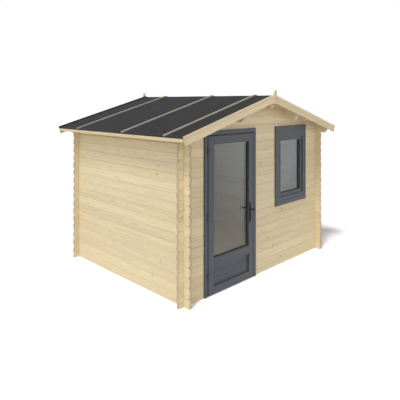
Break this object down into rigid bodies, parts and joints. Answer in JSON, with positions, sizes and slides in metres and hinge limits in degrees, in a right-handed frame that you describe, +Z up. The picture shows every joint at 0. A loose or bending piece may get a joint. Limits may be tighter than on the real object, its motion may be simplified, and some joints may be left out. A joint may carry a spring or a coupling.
{
  "type": "garden shed",
  "caption": "Log garden shed with a shallow gable roof, a wide bargeboard overhang, one glazed door that swings outwards and one fixed window in the front gable wall.",
  "frame": {"origin": "on the ground, midway between the outer faces of the side walls and midway between the outer faces of the front and back walls", "axes": "+Z up, -Y out of the front wall with the door and window, +X to the right seen from outside the front"},
  "size_m": [3.426, 2.94, 2.5805],
  "materials": {
    "log_timber": "untreated planed softwood",
    "pale_boards": "untreated planed softwood",
    "floor_timber": "untreated planed softwood",
    "grey_paint": "satin dark grey paint on planed softwood",
    "roofing_felt": "mineral-faced bitumen felt",
    "glass": "clear",
    "black_metal": "satin black powder coat",
    "steel": "zinc plated",
    "sill_metal": "mill finish"
  },
  "bodies": {
    "shed": {"front_wall_left": "log_timber", "front_wall_middle": "log_timber", "front_wall_right": "log_timber", "front_wall_under_window": "log_timber", "front_gable": "log_timber", "back_wall": "log_timber", "back_gable": "log_timber", "left_wall": "log_timber", "right_wall": "log_timber", "top_logs": "log_timber", "ridge_purlin": "log_timber", "purlin_left": "log_timber", "purlin_right": "log_timber", "roof_boards_left": "pale_boards", "roof_boards_right": "pale_boards", "felt_left": "roofing_felt", "felt_right": "roofing_felt", "battens": "pale_boards", "fascias": "pale_boards", "bargeboards_front": "pale_boards", "bargeboards_back": "pale_boards", "finials": "pale_boards", "door_jamb_left": "grey_paint", "door_jamb_right": "grey_paint", "door_head": "grey_paint", "threshold": "sill_metal", "hinge_pins": "steel", "window_jambs": "grey_paint", "window_head": "grey_paint", "window_sill": "grey_paint", "window_sash_stiles": "grey_paint", "window_sash_rails": "grey_paint", "window_glass": "glass", "floor_bearers": "floor_timber", "floor_boards": "floor_timber"},
    "door": {"door_stile_hinge": "grey_paint", "door_stile_lock": "grey_paint", "door_rails": "grey_paint", "door_panel": "grey_paint", "door_glass": "glass", "hinge_flaps": "steel", "handle_plates": "black_metal", "lock_cylinder": "steel"},
    "lever": {"handle": "black_metal"}
  },
  "joints": [
    {"name": "door_hinge", "type": "hinge", "parent": "shed", "child": "door", "pos_m": [-1.1105, -1.2483, 1], "axis": [0, 0, -1], "range_deg": [0, 110]},
    {"name": "handle_turn", "type": "hinge", "parent": "door", "child": "lever", "pos_m": [-0.278, -1.212, 0.955], "axis": [0, -1, 0], "range_deg": [0, 40], "stiffness_Nm_per_rad": 2, "springref_deg": -17.19}
  ]
}
